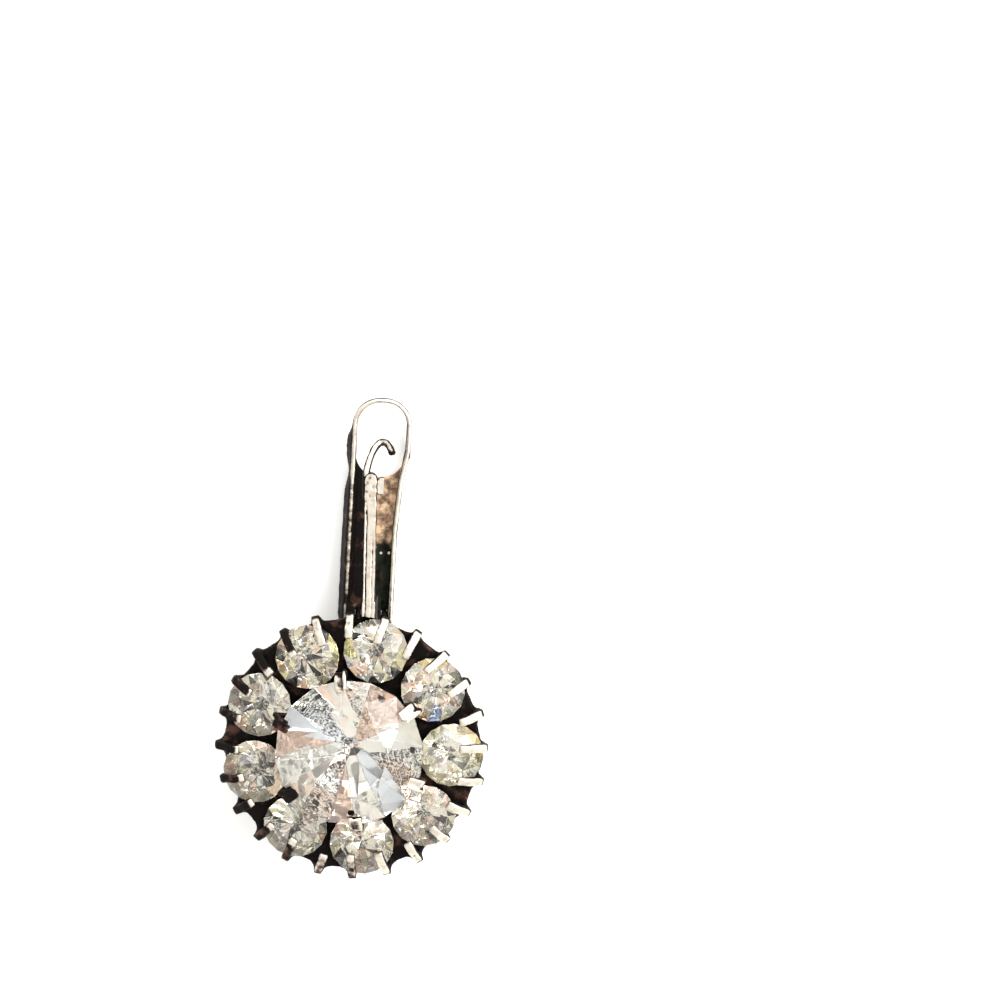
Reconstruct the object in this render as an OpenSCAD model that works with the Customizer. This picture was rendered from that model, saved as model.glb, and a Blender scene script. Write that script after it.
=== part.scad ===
// Lever-back cluster earring, lying on its back.
// +Z is the face of the cluster, +Y runs up the ear fitting, and z = 0 is the surface it rests on.
// Every height called y along the fitting is measured from the middle of the cluster.

/* [Stones] */
// Diameter of the centre stone across its girdle
centre_d = 9; // [8.6:0.1:9.2]
// Diameter of each outer stone across its girdle
outer_d = 3.9; // [3.6:0.05:4]
// Distance from the middle of the cluster to the middle of each outer stone
ring_r = 6.1; // [6:0.05:6.3]
// Turn of the whole cluster against the ear fitting, in degrees
ring_turn = 7; // [0:1:10]
// Outward tilt of the outer stones, in degrees
outer_tilt = 6; // [0:1:8]
// Table width as a share of the girdle's width
table_share = 0.55; // [0.5:0.01:0.6]
// Crown height as a share of the girdle's width
crown_share = 0.145; // [0.13:0.005:0.16]
// Pavilion depth as a share of the girdle's width
pavilion_share = 0.41; // [0.38:0.01:0.42]
// Thickness of the girdle of every stone
girdle_t = 0.1; // [0.06:0.02:0.14]
// Gap between a stone and the metal that holds it
seat_gap = 0.04; // [0.03:0.01:0.06]

/* [Setting] */
// Outer radius of the flared wall where it meets the back ring
base_r = 5.3; // [5.1:0.05:5.4]
// Outer radius of the flared wall at its rim
rim_r = 8.05; // [8:0.05:8.15]
// Height of the outer stones' girdles above the surface it rests on
outer_z = 6.35; // [6.2:0.05:6.5]
// Height of the centre stone's girdle above the surface it rests on
centre_z = 8; // [7.9:0.05:8.2]
// Thickness of the flared wall
wall_t = 0.4; // [0.35:0.05:0.5]
// Width of each outer prong
prong_w = 0.5; // [0.4:0.02:0.56]
// Turn of the outer prongs about the cluster, in degrees
prong_turn = 1.4; // [0:0.2:3]
// Width of each centre prong
centre_prong_w = 0.8; // [0.7:0.05:0.9]
// Radius of the scallops cut in the rim between the outer prongs
scallop_r = 0.72; // [0.5:0.02:0.76]

/* [Ear hook] */
// Distance of the front bar to the right of the cluster's middle
stem_x = 0.9; // [0.6:0.05:1]
// Width of the front bar
bar_w = 0.7; // [0.6:0.02:0.76]
// Thickness of the front bar
bar_t = 0.6; // [0.5:0.05:0.7]
// Height of the back of the front bar above the surface it rests on
bar_z = 6.12; // [6.1:0.02:6.2]
// Place of the bar's rounded top end along the fitting
bar_top = 16.9; // [16.6:0.1:17]
// Diameter of the wire that passes through the ear
wire_d = 0.44; // [0.4:0.02:0.5]
// Radius of the hook's bend, to the middle of the wire
hook_r = 2.7; // [2.6:0.05:2.8]
// Turn of the hook's bend to the right, in degrees
hook_turn = 16; // [10:1:20]

/* [Lever] */
// Outer width of the lever's loop at its front rims
lever_w = 3.6; // [3.4:0.05:3.7]
// Outer width of the lever's tray at its front rims
tray_w = 3.05; // [3.05:0.05:3.4]
// Place of the lever's top along the fitting
lever_top = 20.5; // [20.2:0.1:20.8]
// Depth of the lever's tray
tray_depth = 1.15; // [1:0.05:1.2]
// Thickness of the lever's sheet metal
sheet_t = 0.3; // [0.25:0.01:0.34]
// Lean of the lever to the right, in degrees
lever_lean = 2; // [0:0.5:4]
// Twist of the lever about its own length, in degrees
lever_twist = 6; // [0:1:7]
// Backward slope of the closed lever, in degrees
lever_slope = 1.8; // [1.5:0.1:2]

/* [Hinge] */
// Place of the hinge along the fitting
hinge_y = 6.7; // [6.65:0.05:6.8]
// Distance of the hinge to the right of the cluster's middle
hinge_x = 0.65; // [0.3:0.05:0.7]
// Height of the hinge above the surface it rests on
hinge_z = 1.15; // [1.15:0.05:1.25]
// Radius of the hinge pin
pin_r = 0.3; // [0.25:0.01:0.32]
// Running clearance between the pin and the lever's knuckle
pin_gap = 0.04; // [0.03:0.01:0.06]

/* [Hidden] */
outer_count = 9;
outer_step = 360 / outer_count;
first_outer_angle = 110;
prong_count = 24;
prong_step = 360 / prong_count;
centre_prong_count = 6;
prong_reach = 8.35;
cluster_y = (prong_reach - lever_top) / 2;
$fn = 96;

// Rim of the wall, and the radius of its outer face at any height
rim_z = outer_z;
function wall_r(z) = base_r + (rim_r - base_r) * z / rim_z;

// Heights and radii inside the setting
back_ring_h = 0.45;
back_ring_in = 4.7;
back_ring_out = 5.5;
deck_low = 5.05;
deck_high = 6.05;
collar_in = 3.35;
collar_out = 3.98;
collar_high = 7.3;
light_hole_r = 1.05;
rib = 0.2;
eps = 0.01;

// Hook bend: it leaves the front bar at one angle and ends in the lever's window at another
hook_start = 29;
hook_end = 141;
hook_start_y = bar_top + 0.02;
hook_centre_y = hook_start_y - hook_r * sin(hook_start);
hook_front_z = bar_z + bar_t / 2;
wire_offset = 0.3;

// Foot that carries the front bar, seated on the outside of the wall between two ribs
foot_w = 0.78;
foot_low = 4.3;
foot_top_y = 9;
foot_gap = 0.07;

// Small leaf that stands beside the top of the bar, across a narrow slit
leaf_w = 0.34;
leaf_slit = 0.1;
leaf_top = 16.65;
leaf_low = 15.6;
leaf_bridge = 0.45;
leaf_t = 0.36;

// Lever, in its own frame: u across, v along from the hinge, w towards the front
left_u = -1.75;
rim_w = 0.6;
back_w = rim_w - tray_depth;
tray_start = 0.74;
wall_start = -0.1;
tray_top = lever_top - hinge_y;
corner_r = 1.66;
wall_splay = 0.3;
inner_fillet = 0.34;
tray_bend_low = 5.6;
tray_bend_high = 8.7;
loop_low = 10.6;
window_low = 8.8;
loop_depth = 0.5;

// Hinge parts
knuckle_r = 0.6;
knuckle_l = 1.2;
ear_gap = 0.05;
ear_t = 0.3;
ear_r = 0.62;
ear_reach = 1.6;
pin_seat_gap = 0.01;

// Corners of a brilliant cut with 8 main facets: table, star tips, girdle, pavilion tips and culet
function ring_points(n, r, z, turn) =
    [for (i = [0:n - 1]) [r * cos(turn + i * 360 / n), r * sin(turn + i * 360 / n), z]];

function brilliant_points(d) =
    let (r = d / 2,
         half_g = girdle_t / 2,
         table_r = r * table_share,
         crown_h = d * crown_share,
         pavilion_h = d * pavilion_share,
         star_r = (r + table_r) / 2,
         star_z = crown_h * (r - star_r * cos(22.5)) / (r - table_r),
         low_r = 0.24 * r,
         low_z = pavilion_h * (1 - low_r * cos(22.5) / r))
    concat(ring_points(8, table_r, half_g + crown_h, 0),
           ring_points(8, star_r, half_g + star_z, 22.5),
           ring_points(16, r, half_g, 0),
           ring_points(16, r, -half_g, 0),
           ring_points(8, low_r, -half_g - low_z, 22.5),
           [[0, 0, -half_g - pavilion_h]]);

module brilliant(d) {
    points = brilliant_points(d);
    hull() polyhedron(points, [[for (i = [0:len(points) - 1]) i]]);
}

// The space that a stone and its gap take out of the metal
module stone_space(d) {
    r = d / 2 + seat_gap;
    half_g = girdle_t / 2 + seat_gap;
    table_r = d / 2 * table_share + seat_gap;
    rotate_extrude()
        polygon([[0, -half_g - d * pavilion_share], [r, -half_g], [r, half_g],
                 [table_r, half_g + d * crown_share], [0, half_g + d * crown_share]]);
}

function outer_angle(k) = first_outer_angle + ring_turn - (k - 1) * outer_step;

module in_cluster() {
    translate([0, cluster_y, 0]) children();
}

module at_outer_stone(k) {
    in_cluster()
        rotate([0, 0, outer_angle(k)])
            translate([ring_r, 0, outer_z])
                rotate([0, outer_tilt, 0])
                    children();
}

module at_centre_stone() {
    in_cluster()
        translate([0, 0, centre_z])
            rotate([0, 0, ring_turn])
                children();
}

// A strip bent to a profile of radius and height, standing at one angle of the cluster
module bent_strip(angle, width, profile) {
    rotate([0, 0, angle])
        rotate([90, 0, 0])
            translate([0, 0, -width / 2])
                linear_extrude(width)
                    polygon(profile);
}

// An outer prong: it rises as a rib on the wall and bends in over the edge of a stone
module outer_prong(angle) {
    low = 1.6;
    profile = [[wall_r(low) - 0.25, low],
               [wall_r(low) + eps, low],
               [wall_r(low + 0.6) + rib, low + 0.6],
               [prong_reach - 0.03, outer_z - 0.1],
               [prong_reach - 0.15, outer_z + 0.24],
               [7.35, outer_z + 0.83],
               [6.75, outer_z + 0.93],
               [6.62, outer_z + 0.8],
               [6.7, outer_z + 0.42],
               [7.03, outer_z + 0.3],
               [7.66, outer_z + 0.03],
               [wall_r(5.8) - 0.25, 5.8]];
    bent_strip(angle, prong_w, profile);
}

// A centre prong: a flat tab that leaves the collar and folds over the centre stone
module centre_prong(angle) {
    profile = [[3.65, 6.35],
               [3.95, 6.35],
               [4.95, centre_z - 0.25],
               [4.95, centre_z + 0.2],
               [4.72, centre_z + 0.52],
               [3.95, centre_z + 0.86],
               [3.85, centre_z + 0.45],
               [4.45, centre_z],
               [4.3, centre_z - 0.35]];
    bent_strip(angle, centre_prong_w, profile);
}

module crown_wall() {
    rotate_extrude()
        polygon([[base_r - wall_t, 0], [base_r, 0], [rim_r, rim_z], [rim_r - wall_t, rim_z]]);
    rotate_extrude()
        polygon([[back_ring_in, 0], [back_ring_out, 0],
                 [back_ring_out, back_ring_h], [back_ring_in, back_ring_h]]);
}

module deck_and_collar() {
    rotate_extrude()
        polygon([[collar_in, deck_low], [wall_r(deck_low) - wall_t / 2, deck_low],
                 [wall_r(deck_high) - wall_t / 2, deck_high], [collar_out, deck_high],
                 [collar_out, collar_high], [collar_in, collar_high]]);
}

module rim_scallops() {
    for (i = [0:prong_count - 1])
        rotate([0, 0, prong_turn + (i + 0.5) * prong_step])
            translate([wall_r(rim_z) - 1.4, 0, rim_z + 0.08])
                rotate([0, 90, 0])
                    cylinder(r = scallop_r, h = 2, $fn = 48);
}

module hinge_frame() {
    translate([hinge_x, cluster_y + hinge_y, hinge_z])
        rotate([0, 0, -lever_lean])
            rotate([0, lever_twist, 0])
                children();
}

// Two lugs on the back of the wall that hold the ends of the hinge pin
module hinge_ears() {
    for (side = [-1, 1])
        translate([side * (knuckle_l / 2 + ear_gap + ear_t / 2), 0, 0])
            rotate([0, 90, 0])
                linear_extrude(ear_t, center = true) {
                    circle(r = ear_r);
                    translate([-ear_r, -ear_reach])
                        square([2 * ear_r - 0.08, ear_reach]);
                }
}

module setting() {
    color("dimgray")
    difference() {
        union() {
            in_cluster() {
                difference() {
                    crown_wall();
                    rim_scallops();
                }
                deck_and_collar();
                for (i = [0:prong_count - 1])
                    outer_prong(prong_turn + i * prong_step);
                for (i = [0:centre_prong_count - 1])
                    centre_prong(90 + ring_turn + i * 360 / centre_prong_count);
            }
            hinge_frame() hinge_ears();
        }
        for (k = [1:outer_count])
            at_outer_stone(k) {
                stone_space(outer_d);
                translate([0, 0, -2.2]) cylinder(r = light_hole_r, h = 1.45);
            }
        at_centre_stone() stone_space(centre_d);
        in_cluster()
            translate([0, 0, back_ring_h + eps])
                cylinder(r1 = wall_r(back_ring_h) - wall_t - eps,
                         r2 = wall_r(3) - wall_t - eps, h = 3 - back_ring_h);
        hinge_frame()
            rotate([0, 90, 0])
                cylinder(r = pin_r + pin_seat_gap, h = knuckle_l + 3, center = true);
    }
}

module ear_hook() {
    color("silver")
    in_cluster() {
        // The bar with its rounded top end, and the leaf beside it
        translate([stem_x, 0, bar_z])
            linear_extrude(bar_t) {
                translate([-bar_w / 2, foot_top_y - 0.5])
                    square([bar_w, bar_top - bar_w / 2 - foot_top_y + 0.5]);
                translate([0, bar_top - bar_w / 2])
                    circle(d = bar_w);
            }
        translate([stem_x, 0, bar_z])
            linear_extrude(leaf_t) {
                translate([bar_w / 2 + leaf_slit, leaf_low])
                    square([leaf_w, leaf_top - leaf_w / 2 - leaf_low]);
                translate([bar_w / 2 + leaf_slit + leaf_w / 2, leaf_top - leaf_w / 2])
                    circle(d = leaf_w);
                translate([0, leaf_low])
                    square([bar_w / 2 + leaf_slit + leaf_w / 2, leaf_bridge]);
            }
        // The foot, which follows the flare of the wall
        difference() {
            translate([stem_x - foot_w / 2, 7, foot_low])
                cube([foot_w, foot_top_y - 7, bar_z + bar_t - foot_low]);
            rotate_extrude()
                polygon([[0, 0], [wall_r(0) + foot_gap, 0],
                         [wall_r(rim_z) + foot_gap, rim_z],
                         [wall_r(rim_z) + foot_gap, rim_z + 2],
                         [0, rim_z + 2]]);
        }
        // The wire: one round bend over the ear, from the top of the bar to the lever's window
        translate([stem_x - wire_offset, hook_centre_y, hook_front_z])
            rotate([0, -hook_turn, 0])
                translate([0, 0, -hook_r * cos(hook_start)])
                    rotate([0, -90, 0])
                        rotate([0, 0, hook_start])
                            rotate_extrude(angle = hook_end - hook_start)
                                translate([hook_r, 0])
                                    circle(d = wire_d, $fn = 32);
        translate([stem_x - wire_offset, bar_top - 1.6, hook_front_z])
            rotate([-90, 0, 0])
                cylinder(d = wire_d, h = hook_start_y - bar_top + 1.6, $fn = 32);
        translate([stem_x - wire_offset, hook_start_y, hook_front_z])
            sphere(d = wire_d, $fn = 32);
    }
}

module centre_stone() {
    color("azure") at_centre_stone() brilliant(centre_d);
}

module outer_stone(k) {
    color("aliceblue") at_outer_stone(k) brilliant(outer_d);
}

// Outline of the lever's front loop, drawn in from its outer edge
module loop_outline(inset) {
    left = left_u + inset;
    right = left_u + lever_w - inset;
    r = corner_r - inset;
    top = tray_top - inset;
    translate([left, loop_low - 0.4])
        square([right - left, top - r - loop_low + 0.4]);
    for (middle = [left + r, right - r])
        translate([middle, top - r])
            circle(r = r);
    translate([left + r, top - r])
        square([right - left - 2 * r, r]);
}

// Side view of the lever: the walls are deep, dip beside the window and fade into the loop
module side_profile() {
    back_edge = [[12.3, rim_w - loop_depth],
                 [11.5, back_w + 0.25],
                 [10.7, back_w],
                 [9.8, back_w + 0.04],
                 [9.1, back_w + 0.12],
                 [8.4, back_w + 0.1],
                 [7.4, back_w + 0.02],
                 [6.6, back_w]];
    rotate([90, 0, 90])
        linear_extrude(3 * lever_w, center = true)
            polygon(concat([[wall_start + 0.35, back_w], [wall_start, back_w + 0.35],
                            [wall_start, rim_w - 0.15], [wall_start + 0.15, rim_w],
                            [tray_top, rim_w],
                            [tray_top, rim_w - loop_depth]], back_edge));
}

// The left wall leans out towards the back
module left_wall() {
    translate([0, tray_top - corner_r, 0])
        rotate([90, 0, 0])
            linear_extrude(tray_top - corner_r - wall_start)
                polygon([[left_u, rim_w], [left_u + sheet_t, rim_w],
                         [left_u + sheet_t, back_w], [left_u - wall_splay, back_w]]);
}

// The thickening inside the tray where the left wall meets the plate
module left_fillet() {
    translate([0, window_low - 0.2, 0])
        rotate([90, 0, 0])
            linear_extrude(window_low - 0.2 - tray_start)
                polygon([[left_u + 0.1, rim_w - 0.07], [left_u + sheet_t - 0.07, rim_w - 0.07],
                         [left_u + sheet_t + inner_fillet, back_w + 0.12],
                         [left_u + 0.1, back_w + 0.12]]);
}

// Outer edge of the right side from the hinge up: the tray is narrower than the loop
function right_edge(inset, start) =
    [[left_u + tray_w - inset, start],
     [left_u + tray_w - inset, tray_bend_low],
     [left_u + lever_w - 0.35 - inset, tray_bend_high],
     [left_u + lever_w - inset, loop_low]];

module right_wall() {
    inner = right_edge(sheet_t, wall_start);
    top = tray_top - corner_r;
    translate([0, 0, back_w])
        linear_extrude(tray_depth)
            polygon(concat(right_edge(0, wall_start),
                           [[left_u + lever_w, top], [left_u + lever_w - sheet_t, top]],
                           [for (i = [len(inner) - 1:-1:0]) inner[i]]));
}

module tray_plate() {
    window_r = (lever_w - 2 * sheet_t) / 2 + 0.02;
    middle_u = left_u + lever_w / 2;
    plate_top = window_low + window_r;
    translate([0, 0, back_w])
        linear_extrude(sheet_t)
            difference() {
                polygon(concat([[left_u + 0.05, plate_top], [left_u + 0.05, tray_start]],
                               [for (i = [0:2]) right_edge(0.06, tray_start)[i]],
                               [[left_u + lever_w - 0.1, plate_top]]));
                translate([middle_u, plate_top])
                    circle(r = window_r);
            }
}

module lever() {
    color("gray")
    hinge_frame()
        rotate([-lever_slope, 0, 0])
            difference() {
                union() {
                    intersection() {
                        side_profile();
                        union() {
                            left_wall();
                            left_fillet();
                            right_wall();
                            tray_plate();
                        }
                    }
                    translate([0, 0, rim_w - loop_depth])
                        linear_extrude(loop_depth)
                            difference() {
                                loop_outline(0);
                                loop_outline(sheet_t);
                                translate([0, -1]) loop_outline(sheet_t);
                            }
                    rotate([0, 90, 0])
                        cylinder(r = knuckle_r, h = knuckle_l, center = true);
                    translate([-knuckle_l / 2, 0, back_w])
                        cube([knuckle_l, tray_start + 0.5, 0.42]);
                }
                rotate([0, 90, 0])
                    cylinder(r = pin_r + pin_gap, h = knuckle_l + 1, center = true);
            }
}

module hinge_pin() {
    color("darkgray")
    hinge_frame()
        rotate([0, 90, 0])
            cylinder(r = pin_r, h = knuckle_l + 2 * (ear_gap + ear_t) + 0.1, center = true);
}

setting();
ear_hook();
centre_stone();
outer_stone(1);  // outer_stone_1
outer_stone(2);  // outer_stone_2
outer_stone(3);  // outer_stone_3
outer_stone(4);  // outer_stone_4
outer_stone(5);  // outer_stone_5
outer_stone(6);  // outer_stone_6
outer_stone(7);  // outer_stone_7
outer_stone(8);  // outer_stone_8
outer_stone(9);  // outer_stone_9
lever();
hinge_pin();
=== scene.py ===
import math

import bmesh
import bpy
import numpy as np
from mathutils import Matrix, Vector, noise


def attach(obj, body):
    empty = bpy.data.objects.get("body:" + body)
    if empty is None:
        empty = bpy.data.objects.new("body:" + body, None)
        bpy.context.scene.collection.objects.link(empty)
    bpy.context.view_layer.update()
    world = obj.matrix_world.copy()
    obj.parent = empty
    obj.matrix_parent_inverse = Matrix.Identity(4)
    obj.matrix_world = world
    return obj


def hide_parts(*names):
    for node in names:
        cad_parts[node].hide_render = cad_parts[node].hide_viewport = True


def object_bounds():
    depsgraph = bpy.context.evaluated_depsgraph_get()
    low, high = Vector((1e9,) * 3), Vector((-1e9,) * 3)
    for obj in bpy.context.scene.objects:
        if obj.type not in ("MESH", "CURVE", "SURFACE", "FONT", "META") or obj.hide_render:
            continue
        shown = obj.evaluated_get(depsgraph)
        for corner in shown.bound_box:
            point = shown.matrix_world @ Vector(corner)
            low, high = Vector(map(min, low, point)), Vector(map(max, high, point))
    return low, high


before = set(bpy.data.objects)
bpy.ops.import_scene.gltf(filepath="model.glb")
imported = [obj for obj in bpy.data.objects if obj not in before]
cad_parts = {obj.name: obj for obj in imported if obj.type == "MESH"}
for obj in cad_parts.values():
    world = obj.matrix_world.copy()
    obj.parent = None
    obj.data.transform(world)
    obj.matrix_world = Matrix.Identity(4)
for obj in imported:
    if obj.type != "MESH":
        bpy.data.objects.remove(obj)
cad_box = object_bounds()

bl_info = {
    "name": "Rock crystal earring",
    "version": (1, 0, 0),
    "blender": (4, 5, 0),
    "location": "3D View > Sidebar > Earring",
    "description": "Dresses the lever-back cluster earring: cut stones, worn dark silver and a soft studio",
    "category": "Object",
}

MM = 0.001

# Places and angles of the part's source, in millimetres and degrees
CLUSTER_Y = -6.075
RING_RADIUS = 6.1
RING_TURN = 7
OUTER_TILT = 6
OUTER_HEIGHT = 6.35
CENTRE_HEIGHT = 8.0
OUTER_COUNT = 9
FIRST_OUTER_ANGLE = 110 + RING_TURN
OUTER_STEP = 360 / OUTER_COUNT
PRONG_COUNT = 24
PRONG_TURN = 1.4
PRONG_STEP = 360 / PRONG_COUNT
CENTRE_PRONG_COUNT = 6
STEM_X = 0.9
BAR_BACK = 6.12
BAR_TOP = 16.9
HINGE_X = 0.65
HINGE_Y = 6.7
HINGE_Z = 1.15
LEVER_LEAN = 2
LEVER_TWIST = 6
LEVER_SLOPE = 1.8
LEVER_LEFT = -1.75
LEVER_WIDTH = 3.6
TRAY_WIDTH = 3.05
BEND_WIDTH = 3.25
TRAY_BEND_LOW = 5.6
TRAY_BEND_HIGH = 8.7
LOOP_LOW = 10.6
LEVER_TOP = 13.8
CORNER_RADIUS = 1.66
RIM_MIDDLE = 0.15
LUG_REACH = 0.7
LUG_TOP = 2
HOOK_RADIUS = 2.7
HOOK_TURN = 16
HOOK_START = 29
HOOK_END = 141
WIRE_X = 0.6
WIRE_Z = 6.42

# Widths of the small even faces that each metal piece is remade with, in millimetres
SETTING_VOXEL = 0.085
HOOK_VOXEL = 0.04
LEVER_VOXEL = 0.055
PIN_VOXEL = 0.04
MOST_TRIANGLES = 180000

# Seeds of the random draws
PRONG_SEED = 5
RUBBING_SEED = 9
CENTRE_TINT_SEED = 11
OUTER_TINT_SEED = 20
PAVILION_SEED = 40

# Unevenness of the outer prongs in millimetres: aside, inwards and upwards, from the least to the most
PRONG_UNEVENNESS = ((-0.16, -0.2, 0.02), (0.16, 0.12, 0.06))
PRONG_HALF_ANGLES = (4.0, 3.0)
PRONG_RADII = (8.2, 6.8)
PRONG_HEIGHTS = (6.2, 6.6)

# The bar's two grooves: place across it and width, in millimetres
LEFT_GROOVE = (-0.2, 0.045)
RIGHT_GROOVE = (0.17, 0.04)
GROOVE_DEPTH = 0.05
HAMMERED_FROM = (13.2, 14.6)

# The lever's left wall, which dips in below its flared part, in millimetres along the lever
FLARE_END = (11.2, 12.2)
DIP_MIDDLE = 9.1
DIP_WIDTH = 0.7
DIP_SHARE = 0.68

# Where the stains in the tray begin and end, in millimetres along the lever
GOLD_FROM = (4.4, 5.0)
GOLD_TO = (10.4, 9.6)
VERDIGRIS_TO = (4.9, 4.4)

# Two bright dots on the tray, across and along the lever in millimetres
BRIGHT_DOTS = ((0.41, 4.14), (0.9, 4.17))


class StoneSettings(bpy.types.PropertyGroup):
    """Cut of the crystal, and the colours painted on its facets as their reflections"""

    centre_width: bpy.props.FloatProperty(
        name="Centre stone", description="Width of the centre stone across its girdle",
        default=9.0 * MM, unit="LENGTH")
    outer_width: bpy.props.FloatProperty(
        name="Outer stones", description="Width of each outer stone across its girdle",
        default=3.9 * MM, unit="LENGTH")
    table_share: bpy.props.FloatProperty(
        name="Table", description="Width of the table as a share of the stone's width",
        default=0.55, subtype="FACTOR")
    # These facet colours are painted on the pavilion as the reflections, flashes and shade that the facets
    # show.
    white: bpy.props.FloatVectorProperty(
        name="White facets", description="Colour that most facets throw back",
        default=(0.98, 0.972, 0.93), size=3, subtype="COLOR")
    grey: bpy.props.FloatVectorProperty(
        name="Grey facets", description="Colour of the facets that throw back less light",
        default=(0.52, 0.52, 0.48), size=3, subtype="COLOR")
    cream: bpy.props.FloatVectorProperty(
        name="Cream facets", description="Colour of the pale yellow-green facets",
        default=(0.98, 0.94, 0.76), size=3, subtype="COLOR")
    pink: bpy.props.FloatVectorProperty(
        name="Pink facets", description="Colour of the pale pink facets",
        default=(0.99, 0.75, 0.63), size=3, subtype="COLOR")
    dark: bpy.props.FloatVectorProperty(
        name="Dark facets", description="Colour of the few facets that throw back no light",
        default=(0.09, 0.085, 0.08), size=3, subtype="COLOR")
    cool: bpy.props.FloatVectorProperty(
        name="Cool facets", description="Colour of the faintly blue facets",
        default=(0.91, 0.94, 0.97), size=3, subtype="COLOR")
    spark: bpy.props.FloatVectorProperty(
        name="Sparks", description="Colour of the few facets that flash yellow",
        default=(1.0, 0.96, 0.5), size=3, subtype="COLOR")
    amber: bpy.props.FloatVectorProperty(
        name="Amber sparks", description="Colour of the few facets that flash orange",
        default=(1.0, 0.8, 0.4), size=3, subtype="COLOR")
    blue: bpy.props.FloatVectorProperty(
        name="Blue sparks", description="Colour of the few facets that flash blue",
        default=(0.45, 0.58, 1.0), size=3, subtype="COLOR")


class MetalSettings(bpy.types.PropertyGroup):
    """Colours and wear of the silver"""

    bright: bpy.props.FloatVectorProperty(
        name="Worn silver", description="Colour of the silver where the oxide has worn off",
        default=(0.8, 0.74, 0.64), size=3, subtype="COLOR")
    tarnish: bpy.props.FloatVectorProperty(
        name="Light tarnish", description="Colour of the pinkish brown film on the worn silver",
        default=(0.5, 0.37, 0.31), size=3, subtype="COLOR")
    oxide: bpy.props.FloatVectorProperty(
        name="Oxide", description="Colour of the dark skin on the open faces",
        default=(0.009, 0.007, 0.0065), size=3, subtype="COLOR")
    # Painted shade: besides the real oxide in the hollows, this colour is laid wherever the ambient
    # occlusion finds shade.
    recess_oxide_and_shade: bpy.props.FloatVectorProperty(
        name="Recesses", description="Colour of the oxide in the recesses",
        default=(0.002, 0.0018, 0.0018), size=3, subtype="COLOR")
    copper: bpy.props.FloatVectorProperty(
        name="Copper tint", description="Colour of the coppery patches",
        default=(0.14, 0.07, 0.05), size=3, subtype="COLOR")
    stain: bpy.props.FloatVectorProperty(
        name="Stain", description="Colour of the brown and gold stain inside the lever",
        default=(0.7, 0.5, 0.32), size=3, subtype="COLOR")
    verdigris: bpy.props.FloatVectorProperty(
        name="Dark stain", description="Colour of the greenish black stain lower down in the lever",
        default=(0.016, 0.022, 0.014), size=3, subtype="COLOR")


class StudioSettings(bpy.types.PropertyGroup):
    """Floor and light"""

    floor: bpy.props.FloatVectorProperty(
        name="Floor", description="Colour of the floor",
        default=(0.97, 0.97, 0.97), size=3, subtype="COLOR")
    light: bpy.props.FloatProperty(
        name="Light", description="Strength of all the lamps against the first setting",
        default=1.0, subtype="FACTOR", soft_max=4.0)


class Value:
    """A shader socket whose arithmetic adds Math nodes."""

    def __init__(self, finish, socket):
        self.finish = finish
        self.socket = socket

    def math(self, operation, *others, clamp=False):
        inputs = dict(enumerate((self, *others)))
        return self.finish.node("ShaderNodeMath", {"operation": operation, "use_clamp": clamp}, inputs)

    def __add__(self, other):
        return self.math("ADD", other)

    def __mul__(self, other):
        return self.math("MULTIPLY", other)

    def __sub__(self, other):
        return self.math("SUBTRACT", other)

    def __rsub__(self, other):
        return self.finish.node("ShaderNodeMath", {"operation": "SUBTRACT"}, {0: other, 1: self})

    __radd__ = __add__
    __rmul__ = __mul__

    def between(self, low, high):
        """0 at low, 1 at high, and a smooth rise between them."""
        return self.finish.node("ShaderNodeMapRange", {"interpolation_type": "SMOOTHSTEP"},
                                {"Value": self, "From Min": low, "From Max": high})

    def at_most_one(self):
        return self.math("MULTIPLY", 1.0, clamp=True)


class Finish:
    """A material being made. Every node of it comes from the node method."""

    def __init__(self, name):
        self.material = bpy.data.materials.new(name)
        self.material.use_nodes = True
        self.tree = self.material.node_tree
        self.tree.nodes.clear()

    def node(self, kind, settings=None, inputs=None, output=0):
        made = self.tree.nodes.new(kind)
        for key, value in (settings or {}).items():
            setattr(made, key, value)
        for key, value in (inputs or {}).items():
            if isinstance(value, Value):
                self.tree.links.new(value.socket, made.inputs[key])
            else:
                made.inputs[key].default_value = value
        return None if output is None else Value(self, made.outputs[output])

    def places(self):
        """Places on the piece itself, in metres, which move with the piece."""
        return self.node("ShaderNodeTexCoord", output="Object")

    def attribute(self, name, output="Fac"):
        return self.node("ShaderNodeAttribute", {"attribute_name": name}, output=output)

    def noise(self, size, detail=3.0, roughness=0.55, distortion=0.0):
        """Cloudy noise from 0 to 1, with patches of about the given size in millimetres."""
        return self.node("ShaderNodeTexNoise", {}, {
            "Vector": self.places(), "Scale": 1 / (size * MM), "Detail": detail,
            "Roughness": roughness, "Distortion": distortion})

    def blend(self, share, first, second):
        """A colour between two colours."""
        mix = self.node("ShaderNodeMix", {"data_type": "RGBA", "clamp_factor": True},
                        {0: share, 6: first, 7: second}, output=2)
        return mix

    def surface(self, inputs):
        shader = self.node("ShaderNodeBsdfPrincipled", {}, inputs)
        self.node("ShaderNodeOutputMaterial", {}, {"Surface": shader}, output=None)
        return self.material


def rgba(colour):
    return (*colour, 1.0)


# Metal: even meshes, wear read from the shape, painted light and shade, and hand-made unevenness


def even_mesh(node, voxel):
    """Vertices in millimetres and faces of a CAD node, remade with even quads."""
    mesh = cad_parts[node].data.copy()
    mesh.transform(Matrix.Scale(1 / MM, 4))
    carrier = bpy.data.objects.new("even", mesh)
    bpy.context.scene.collection.objects.link(carrier)
    remesh = carrier.modifiers.new("even", "REMESH")
    remesh.mode = "VOXEL"
    remesh.voxel_size = voxel
    graph = bpy.context.evaluated_depsgraph_get()
    even = bpy.data.meshes.new_from_object(carrier.evaluated_get(graph))
    bpy.data.objects.remove(carrier)
    bpy.data.meshes.remove(mesh)
    return even


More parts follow.
